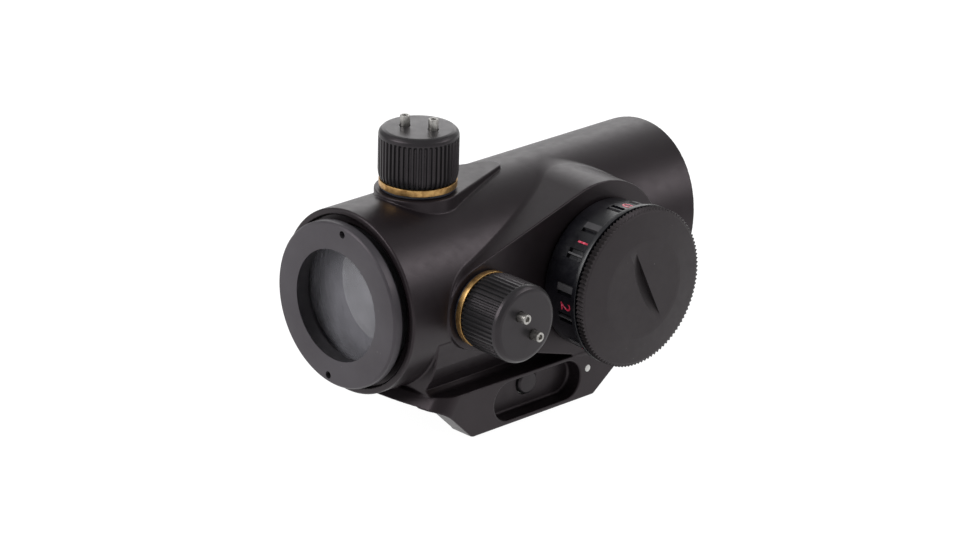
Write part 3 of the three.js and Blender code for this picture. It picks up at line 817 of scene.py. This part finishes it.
def housing_field(x, y, z):
    """Distance to the main housing."""
    web = union(web_part(x, y, z, FOOT_TOP_Z - WEB_OVERLAP, WEB_REAR_Y),
                web_part(x, y, z, -AXIS, WEB_DEEP_REAR_Y))
    channel = rail_channel(x, z)
    side = without(foot_side(x, y, z, SEAT_EDGE_X, SIDE_X), channel, CHANNEL_EDGE)
    body = union(tube_outside(x, y, z), without(web, channel, WEB_EDGE), FOOT_FILLET)
    body = union(body, side, FOOT_FILLET)
    body = without(body, bolt_pocket(x, y, z), POCKET_EDGE)
    body = without(body, bolt_hole(y, z, BOLT_CLEARANCE), HOLE_EDGE / 2)
    body = without(body, bores(x, y, z), BORE_EDGE)
    for along, across in ((z, x), (x, z)):
        body = without(body, turret_hole(along, across, y), HOLE_EDGE)
    return body


def jaw_field(x, y, z):
    """Distance to the movable jaw, on the -X side of the foot."""
    shoulder_z = -AXIS - JAW_DROP
    inside = outline([
        (JAW_SHOULDER_X, ABOVE_FOOT), (0, ABOVE_FOOT), (0, BELOW_FOOT),
        *[(-u, v) for u, v in reversed(lip_section())],
        (-CHANNEL_HALF, shoulder_z), (JAW_SHOULDER_X, shoulder_z),
    ], x, z)
    jaw = without(foot_side(-x, y, z, JAW_INNER_X, SIDE_X), inside, CHANNEL_EDGE)
    return without(jaw, bolt_hole(y, z, JAW_BOLT_CLEARANCE), HOLE_EDGE)


housing_low, housing_high = ([c / MM for c in corner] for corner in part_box("main_housing"))
housing_low[2] -= AXIS
housing_high[2] -= AXIS
# The jaw's box is set so that none of the grid's planes lies in a flat face of the jaw.
jaw_low = (-SIDE_X - 0.12, -27.58, -22.87)
jaw_high = (-8.4, 20, -13.6)
settle("main_housing_shell", contour(housing_field, housing_low, housing_high, STEP, HOUSING_TRIANGLES),
       BODY_BLACK, "housing", "main_housing", sharp=0)
settle("clamp_jaw_plate", contour(jaw_field, jaw_low, jaw_high, STEP, JAW_TRIANGLES),
       BODY_BLACK, "jaw", "clamp_jaw", sharp=0)

# ---- Rear window, rings and inner optics ----


def rear_ring():
    """The threaded ring that holds the rear window, with its two spanner holes."""
    ring = lathe([
        (RING_BORE_R, RING_FACE_Y), (RING_R - RING_BEVEL, RING_FACE_Y), (RING_R, RING_FACE_Y + RING_BEVEL),
        (RING_R, RING_BACK_Y), (12.9, -30.9), (RING_THREAD_R, -30.9), (RING_THREAD_R, -28.95),
        (11.0, -28.95), (11.0, -29.9), (9.5, -30.6), (9.5, -32.8),
    ], OPTICAL, segments=192, soft=0.09)
    holes = []
    for degrees in SPANNER_HOLES_AT:
        a = math.radians(degrees)
        centre = Matrix.Translation((SPANNER_CIRCLE_R * math.cos(a), -SPANNER_CIRCLE_R * math.sin(a), 0))
        hole = band(0, SPANNER_HOLE_R, RING_FACE_Y - 0.66, SPANNER_HOLE_FLOOR_Y)
        holes.append(lathe(hole, OPTICAL @ centre, segments=32, soft=0))
    return carve(ring, holes)


ring = settle("rear_ring", rear_ring(), RING_BLACK, "housing", "rear_retaining_ring")
# Painted shade: the ring's bore, its inward-facing faces and its tapered back get the darker inner material
ring.data.materials.append(INNER_BLACK)
for face in ring.data.polygons:
    outwards = Vector((face.center.x, 0, face.center.z - AXIS * MM)).normalized()
    if face.normal.dot(outwards) < RING_PAINTED_SHADE_FACING_IN or face.center.y > RING_BACK_Y * MM:
        face.material_index = 1

# Each row: piece, CAD node, material, then inner radius, outer radius, rear end and front end
WINDOWS_AND_SEALS = (
    ("rear_glass", "rear_window", REAR_GLASS, (0, 12.1, -28.75, -27.1)),
    ("rear_glass_seal", "rear_window_seal", RUBBER, (11.0, 12.1, -26.95, -26.45)),
    ("front_glass_seal", "front_window_seal", RUBBER, (11.8, 13.0, 21.15, 21.85)),
    ("front_glass", "front_window", WINDOW_GLASS, (0, 13.0, 22.0, 24.0)),
)
for piece_name, node_name, material, size in WINDOWS_AND_SEALS:
    settle(piece_name, lathe(band(*size), OPTICAL), material, "housing", node_name)


def front_ring():
    """The ring that holds the front window, with four notches for a spanner."""
    ring = lathe(band(FRONT_RING_BORE_R, FRONT_RING_R, *FRONT_RING_Y), OPTICAL, segments=160)
    low = (-FRONT_RING_R - 0.9, -NOTCH_HALF_W, NOTCH_FLOOR_Y)
    high = (FRONT_RING_R + 0.9, NOTCH_HALF_W, FRONT_RING_Y[1] + 0.4)
    quarter = Matrix.Rotation(math.pi / 2, 4, "Z")
    return carve(ring, [block(low, high, OPTICAL), block(low, high, OPTICAL @ quarter)])


settle("front_ring", front_ring(), RING_BLACK, "housing", "front_retaining_ring")


def inner_tube():
    """The inner unit's tube, with a shelf for the lens and a hole for the gimbal's pins."""
    shelf_rear, shelf_front = LENS_SHELF_Y
    tube = lathe([
        (INNER_BORE_R, INNER_REAR_Y), (INNER_R, INNER_REAR_Y), (INNER_R, INNER_FRONT_Y),
        (INNER_BORE_R, INNER_FRONT_Y), (INNER_BORE_R, shelf_front), (LENS_SHELF_R, shelf_front),
        (LENS_SHELF_R, shelf_rear), (INNER_BORE_R, shelf_rear),
    ], OPTICAL, segments=160)
    hole = lathe(band(0, GIMBAL_HOLE_R, -12, 12), GIMBAL @ TO_X, segments=32, soft=0)
    return carve(tube, [hole])


settle("inner_sleeve", inner_tube(), INNER_BLACK, "optical_unit", "inner_tube")
settle("reflector", lathe([
    (0, 14.9), (2.2, 14.86), (4.5, 14.75), (6.6, 14.57), (8.7, 14.35), (8.7, 15.4), (0, 15.4),
], OPTICAL, soft=0), LENS_GLASS, "optical_unit", "reflector_lens")
settle("lens_ring", lathe(band(7.9, 8.85, 17.6, 19.4), OPTICAL), INNER_BLACK, "optical_unit", "lens_retainer")
settle("emitter_dome", lathe([
    (0, -11.3), (0.7, -11.3), (0.7, -10.5), (0.35, -10.05), (0, -10.0),
], local_frame(LED_X, 0, 0, TO_Y), segments=48, soft=0.1), LED_RED, "optical_unit", "led_emitter")

# ---- Turrets ----


def flute(angle, radius, height):
    """Straight flutes on the cap's side, which run out on the shoulder and above the bottom edge."""
    if radius < CAP_R - 0.5 or height < CAP_BOTTOM + 0.05:
        return 0.0
    run_out = np.clip((CAP_TOP - 1.15 - height) / FLUTE_RUN_OUT, 0, 1)
    wave = np.clip(0.62 + 1.25 * np.cos(FLUTES * angle), 0, 1)
    return FLUTE_DEPTH * run_out * wave


def pin_places(place, turn):
    """Frames of a cap's two pins."""
    return [place @ turn @ Matrix.Translation((hand * PIN_SPACING / 2, 0, 0)) for hand in (-1, 1)]


def cap_shell(place, turn):
    """A turret's cap, open below, with the two holes its pins stand in."""
    side = [(CAP_R, CAP_TOP - down) for down in (1.0, 1.25, 1.4, 1.7)]
    cap = lathe([
        (0, CAP_TOP), (CAP_FACE_R - 0.55, CAP_TOP), (CAP_FACE_R - 0.1, CAP_TOP - 0.12),
        (CAP_R - 0.12, CAP_TOP - 0.55), *side, (CAP_R, CAP_BOTTOM + 1.3),
        (CAP_R - 0.04, CAP_BOTTOM + 0.9), (CAP_R - 0.16, CAP_BOTTOM + 0.35), (CAP_R - 0.3, CAP_BOTTOM),
        (CAP_SKIRT_R, CAP_BOTTOM), (CAP_SKIRT_R, 2.2), (CAP_CAVITY_R, 2.2), (CAP_CAVITY_R, 7.0), (0, 7.0),
    ], place @ turn, segments=FLUTES * 12, soft=0.1, ripple=flute)
    hole = band(0, PIN_HOLE_R, PIN_HOLE_FLOOR, CAP_TOP + 0.6)
    return carve(cap, [lathe(hole, spot, segments=40, soft=0) for spot in pin_places(place, turn)])


def cap_pin(place):
    """A pin with a small round hole in its end."""
    tip = CAP_TOP + PIN_H
    foot = PIN_HOLE_FLOOR + 0.15
    return lathe([
        (0, foot), (PIN_R, foot), (PIN_R, tip), (0.42, tip), (0.42, tip - 0.6), (0, tip - 0.6),
    ], place, segments=48, soft=0.13)


def turret(prefix, place, pin_degrees):
    """All pieces of one turret, in its local frame."""
    turn = Matrix.Rotation(math.radians(pin_degrees), 4, "Z")
    parts = {
        "base_seal": (band(4.95, 5.95, -0.45, -0.05), RUBBER, "housing"),
        "turret_base": ([
            (2.3, -3.4), (4.7, -3.4), (4.7, 0), (BRASS_R, 0), (BRASS_R, BRASS_H), (NECK_R, BRASS_H),
            (NECK_R, NECK_TOP), (3.5, NECK_TOP), (3.5, 3.6), (2.3, 3.6),
        ], BRASS, "housing"),
        "pusher": (band(0, 1.35, -5.75, -1.9), STEEL, f"{prefix}_push_rod"),
        "cap_seal": (band(4.65, 5.6, 1.3, 2.05), RUBBER, f"{prefix}_cap_ring"),
    }
    for part, (profile, material, body) in parts.items():
        settle(f"{prefix}_{part}_turned", lathe(profile, place), material, body, f"{prefix}_{part}")
    screw = carve(lathe([
        (0, -0.8), (1.6, -0.8), (1.6, -3.3), (2.1, -3.3), (2.1, 3.75), (3.3, 3.75), (3.3, 5.3), (0, 5.3),
    ], place), [block((-4, -0.4, 4.6), (4, 0.4, 6), place)])
    settle(f"{prefix}_screw_turned", screw, STEEL, f"{prefix}_adjuster", f"{prefix}_screw")
    cover = f"{prefix}_cover"
    settle(f"{prefix}_cap_fluted", cap_shell(place, turn), CAP_BLACK, cover, f"{prefix}_cap")
    for i, spot in enumerate(pin_places(place, turn), 1):
        settle(f"{prefix}_pin_{i}_turned", cap_pin(spot), STEEL, cover, f"{prefix}_cap_pin_{i}")


turret("elevation", ELEVATION, ELEVATION_PINS)
turret("windage", WINDAGE, WINDAGE_PINS)

# ---- Dial ----


def on_dial(x, degrees, radius):
    """Point on the dial, in its local frame: x is along its axis, degrees go from +Y towards +Z."""
    a = math.radians(degrees)
    return Vector((-radius * math.sin(a), radius * math.cos(a), x))


def sleeve_radius(x):
    """Radius of the sleeve's slightly conical side."""
    return DIAL_R + (DIAL_WIDE_R - DIAL_R) * (x - DIAL_BASE_X) / (DIAL_CONE_TOP_X - DIAL_BASE_X)


def dial_bar(degrees, width, bottom, top):
    """A bar along the sleeve, between two heights from its surface."""
    half = math.degrees(width / 2 / DIAL_R)
    points = [
        on_dial(x, d, sleeve_radius(x) + height)
        for x in BAR_X for d in (degrees - half, degrees + half) for height in (bottom, top)
    ]
    return solid(points, BOX_FACES, DIAL)


def dial_sleeve():
    """The dial, open on top for the battery cap, with a pair of grooves at each numeral."""
    sleeve = lathe([
        (DIAL_BORE_R, DIAL_BASE_X), (DIAL_R - 0.3, DIAL_BASE_X), (DIAL_R, DIAL_BASE_X + 0.3),
        (DIAL_WIDE_R, 22.1), (DIAL_FLANGE_R, 22.4), (DIAL_FLANGE_R, DIAL_TOP_X), (DIAL_RECESS_R, DIAL_TOP_X),
        (DIAL_RECESS_R, DIAL_RECESS_X), (DIAL_CAVITY_R, DIAL_RECESS_X), (DIAL_CAVITY_R, DIAL_CAVITY_X),
        (DIAL_BORE_R, DIAL_CAVITY_X),
    ], DIAL, segments=256, soft=0.08)
    grooves = []
    for at in NUMERALS_AT:
        grooves.append(dial_bar(at + WIDE_GROOVE_AT, WIDE_GROOVE_W, -WIDE_GROOVE_DEPTH, GROOVE_CUT_TOP))
        grooves.append(dial_bar(at + THIN_BAR_AT, THIN_GROOVE_W, -THIN_GROOVE_DEPTH, GROOVE_CUT_TOP))
    return carve(sleeve, grooves)


def dial_bars():
    """The bars that stand in the grooves, paler as a painted highlight on their tops: a wide one before each
    numeral and a thin one after it.
    """
    work = bmesh.new()
    for at in NUMERALS_AT:
        wide_foot = -WIDE_GROOVE_DEPTH - BAR_ROOT
        thin_foot = -THIN_GROOVE_DEPTH - BAR_ROOT
        work.from_mesh(dial_bar(at + WIDE_BAR_AT, WIDE_BAR_W, wide_foot, WIDE_BAR_TOP))
        work.from_mesh(dial_bar(at + THIN_BAR_AT, THIN_BAR_W, thin_foot, THIN_BAR_TOP))
    mesh = bpy.data.meshes.new("bars")
    work.to_mesh(mesh)
    work.free()
    return mesh


def numeral(digit, degrees):
    """A painted digit that stands towards the rim, wrapped round the sleeve."""
    text = bpy.data.curves.new("digit", "FONT")
    text.body = digit
    text.align_x = "CENTER"
    text.align_y = "CENTER"
    text.size = NUMERAL_SIZE
    text.extrude = NUMERAL_HALF_THICK
    text.resolution_u = 6
    holder = bpy.data.objects.new("digit", text)
    bpy.context.scene.collection.objects.link(holder)
    graph = bpy.context.evaluated_depsgraph_get()
    mesh = bpy.data.meshes.new_from_object(holder.evaluated_get(graph))
    bpy.data.objects.remove(holder)
    for vertex in mesh.vertices:
        right, up, out = vertex.co
        x = NUMERAL_X + up
        radius = sleeve_radius(x) - NUMERAL_SINK + out
        vertex.co = on_dial(x, degrees + math.degrees(right / DIAL_R), radius)
    mesh.transform(DIAL)
    return mesh


settle("dial_sleeve", dial_sleeve(), DIAL_BLACK, "dial", "brightness_dial")
# The bars are paler as a painted highlight on their tops
bars = settle("dial_bars", dial_bars(), DIAL_BAR_PAINTED_HIGHLIGHT, "dial", [])
for digit, at in zip(NUMERALS, NUMERALS_AT):
    painted = settle(f"dial_numeral_{digit}", numeral(digit, at), RED, "dial", [])


def rim_tooth(angle, radius, height):
    """Pointed teeth round the cap's rim, which run out just under its face."""
    if radius < RIM_R - 0.35 or height > RIM_TOP_X - 0.15 or height < RIM_BOTTOM_X:
        return 0.0
    wave = np.abs(((RIM_TEETH * angle / (2 * math.pi)) % 1) - 0.5) * 2
    run_out = np.clip((RIM_TOP_X - 0.15 - height) / 0.1, 0, 1)
    return RIM_TOOTH * wave * run_out


def battery_cap():
    """The toothed cap with its coin slot, hollow below."""
    rows = np.linspace(RIM_BOTTOM_X, RIM_TOP_X - 0.25, 4)
    cap = lathe([
        (0, FACE_TOP_X), (FACE_DISC_R - 0.5, FACE_TOP_X), (FACE_DISC_R, FACE_TOP_X - 0.02),
        (FACE_DISC_R + 0.5, FACE_TOP_X - 0.09),
        (RIM_R - RIM_TOOTH - 0.3, RIM_TOP_X - 0.04), (RIM_R - RIM_TOOTH - 0.1, RIM_TOP_X - 0.15),
        *[(RIM_R, x) for x in reversed(rows)],
        (12.4, RIM_BOTTOM_X), (CAP_THREAD_R, RIM_BOTTOM_X), (CAP_THREAD_R, 21.0),
        (CAP_INNER_R, 21.0), (CAP_INNER_R, 23.6), (0, 23.6),
    ], DIAL, segments=RIM_TEETH * 8, soft=0.05, ripple=rim_tooth)
    return carve(cap, [coin_slot()])


def coin_slot():
    """Half of a stretched ball: one straight deep wall, from which the floor rises to a curved edge."""
    work = bmesh.new()
    bmesh.ops.create_uvsphere(work, u_segments=128, v_segments=96, radius=1)
    mesh = bpy.data.meshes.new("slot")
    work.to_mesh(mesh)
    work.free()
    shrink = math.sqrt(1 - COIN_SLOT_LIFT ** 2)
    depth = COIN_SLOT_DEPTH / (1 - COIN_SLOT_LIFT)
    stretch = Matrix.Diagonal((COIN_SLOT_W / shrink, COIN_SLOT_L / 2 / shrink, depth, 1))
    turn = Matrix.Rotation(math.radians(90 + COIN_SLOT_TURN), 4, "Z")
    middle_x = FACE_TOP_X + COIN_SLOT_LIFT * depth
    place = DIAL @ turn @ Matrix.Translation((COIN_SLOT_EDGE, COIN_SLOT_SHIFT, middle_x)) @ stretch
    mesh.transform(place)
    half = block((-2, -2, -2), (0, 2, 2), place)  # the ball's radius is 1 here
    return carve(mesh, [half], "INTERSECT")


settle("battery_cover", battery_cap(), FACE_BLACK, "battery_cover", "battery_cap")
settle("battery_cover_seal", lathe(band(11.05, 11.8, 22.5, 23.25), DIAL, soft=0.3),
       RUBBER, "battery_cap_ring", "battery_cap_seal")
settle("coin_cell", lathe([
    (0, 18.3), (8.6, 18.3), (8.6, 18.6), (CELL_R - 0.3, 18.6), (CELL_R, 18.9), (CELL_R, 21.5), (0, 21.5),
], DIAL), STEEL, "housing", "battery_cell")

# ---- Clamp bolt and small pieces ----


def knurl(angle, radius, height):
    """Rounded ribs along the knob's side."""
    if radius < KNOB_R - 0.2 or height > KNURL_IN or height < KNURL_OUT:
        return 0.0
    return KNURL_DEPTH * (0.5 + 0.5 * np.cos(KNURL_TEETH * angle))


def clamp_bolt():
    """The bolt in one piece with its knurled knob, which has a coin slot."""
    rows = np.linspace(KNURL_OUT, KNURL_IN, 5)
    bolt = lathe([
        (0, KNOB_OUT), (KNOB_R - 0.5, KNOB_OUT), (KNOB_R, KNOB_OUT + 0.5), *[(KNOB_R, h) for h in rows],
        (KNOB_R - 0.4, KNOB_IN), (BOLT_R, KNOB_IN), (BOLT_R, BOLT_END - 0.3), (BOLT_R - 0.3, BOLT_END),
        (0, BOLT_END),
    ], CLAMP, segments=KNURL_TEETH * 10, soft=0.1, ripple=knurl)
    slot = block((-0.7, -6, -22), (0.7, 6, -19.6), CLAMP)
    return carve(bolt, [slot])


settle("clamp_bolt_turned", clamp_bolt(), CAP_BLACK, "bolt", "clamp_bolt")
settle("clamp_washer_turned", lathe(band(BOLT_R + 0.2, 4.2, -16.0, -15.3), CLAMP),
       STEEL, "jaw", "clamp_washer")
settle("index_dot_paint", lathe([
    (0, SIDE_X - 0.25), (INDEX_DOT_R, SIDE_X - 0.25), (INDEX_DOT_R, SIDE_X - 0.02),
    (0.4, SIDE_X + 0.04), (0, SIDE_X + 0.06),
], local_frame(0, INDEX_DOT_Y, INDEX_DOT_Z, TO_X), segments=40, soft=0.08), WHITE, "housing", "index_dot")

# ---- CAD nodes that stay: each gets its procedural finish ----

FINISH_OF_SLOT = {
    "black_anodised_housing": BODY_BLACK,
    "black_satin_metal": INNER_BLACK,
    "black_dial_plastic": DIAL_BLACK,
    "brass": BRASS,
    "bright_steel": STEEL,
    "dark_rubber": RUBBER,
    "clear_glass": WINDOW_GLASS,
    "coated_glass": LENS_GLASS,
    "board_green": BOARD,
    "led_red": LED_RED,
    "white_enamel": WHITE,
}
for node_name, node in frame["nodes"].items():
    if not node.hide_render:
        node.data.materials.clear()
        node.data.materials.append(FINISH_OF_SLOT[SLOT_OF[node_name]])

# ---- Stage: pale floor, soft light, camera ----

FLOOR_GLOW = 0.97  # a lit table: the object leaves hardly any shadow on it
FLOOR_HALF_WIDTH = 3.0
FLOOR_GAP = 0.0002
WORLD_LIGHT = 0.5
# Each row: name, azimuth, elevation, then distance, width and height in metres, and radiance
SOFTBOXES = (
    ("key", -20, 35, 1.0, 0.6, 0.6, 6.5),
    ("backdrop", 225, 20, 1.6, 1.8, 0.6, 2.0),
    ("side", 132, 33, 1.2, 0.8, 0.45, 4.5),
)

CAMERA_AZIMUTH = 45.73
CAMERA_ELEVATION = 21.81
CAMERA_ROLL = 1.51
CAMERA_DISTANCE = 758.74  # millimetres from the target, which is given about the optical axis
CAMERA_TARGET = (-0.28, 0.0, -3.59)
CAMERA_LENS = 174.5


def floor():
    """Plain pale floor."""
    work = bmesh.new()
    bmesh.ops.create_grid(work, x_segments=2, y_segments=2, size=FLOOR_HALF_WIDTH)
    mesh = bpy.data.meshes.new("floor")
    work.to_mesh(mesh)
    work.free()
    mesh.transform(Matrix.Translation((0, 0, CAD_BOX[0][2] - FLOOR_GAP)))
    n = Nodes("pale_floor")
    base = n.mix(n.varied(0.0, 1.0, 60), (0.10, 0.10, 0.10), (0.12, 0.12, 0.12))
    rough = n.ramp(n.noise(20), 0, 1, 0.85, 0.95)
    n.finish(base, rough, Emission_Color=(1, 1, 1, 1), Emission_Strength=FLOOR_GLOW)
    mesh.materials.append(n.material)
    plane = bpy.data.objects.new("floor", mesh)
    bpy.context.scene.collection.objects.link(plane)


def world_light(strength):
    """Even white light from all sides."""
    world = bpy.data.worlds.new("studio")
    world.use_nodes = True
    world.node_tree.nodes["Background"].inputs["Color"].default_value = (1, 1, 1, 1)
    world.node_tree.nodes["Background"].inputs["Strength"].default_value = strength
    bpy.context.scene.world = world


def direction(azimuth, elevation):
    """Unit vector away from the object. Azimuth 0 is behind the rear window, and 90 is on +X."""
    a, e = math.radians(azimuth), math.radians(elevation)
    return Vector((math.sin(a) * math.cos(e), -math.cos(a) * math.cos(e), math.sin(e)))


def softbox(name, azimuth, elevation, distance, width, height, radiance):
    """A flat light that faces the object."""
    towards = direction(azimuth, elevation)
    light = bpy.data.lights.new(name, "AREA")
    light.shape = "RECTANGLE"
    light.size = width
    light.size_y = height
    light.energy = radiance * math.pi * width * height
    lamp = bpy.data.objects.new(name, light)
    lamp.location = towards * distance + Vector((0, 0, AXIS * MM))
    lamp.rotation_mode = "QUATERNION"
    lamp.rotation_quaternion = towards.to_track_quat("Z", "Y")
    bpy.context.scene.collection.objects.link(lamp)


def camera():
    """The camera behind and beside the rear window, looking slightly down."""
    azimuth, roll = math.radians(CAMERA_AZIMUTH), math.radians(CAMERA_ROLL)
    back = direction(CAMERA_AZIMUTH, CAMERA_ELEVATION)
    right = Vector((math.cos(azimuth), math.sin(azimuth), 0))
    up = back.cross(right)
    rolled_right = right * math.cos(roll) + up * math.sin(roll)
    rolled_up = up * math.cos(roll) - right * math.sin(roll)
    lens = bpy.data.cameras.new("camera")
    lens.lens = CAMERA_LENS
    lens.clip_start = 0.05
    lens.clip_end = 20
    eye = bpy.data.objects.new("camera", lens)
    turn = Matrix((rolled_right, rolled_up, back)).transposed()
    eye.matrix_world = Matrix.Translation(
        FINDER @ (Vector(CAMERA_TARGET) + back * CAMERA_DISTANCE)) @ turn.to_4x4()
    bpy.context.scene.collection.objects.link(eye)
    bpy.context.scene.camera = eye


floor()
world_light(WORLD_LIGHT)
for settings in SOFTBOXES:
    softbox(*settings)
camera()
bpy.context.scene.view_settings.view_transform = "Standard"
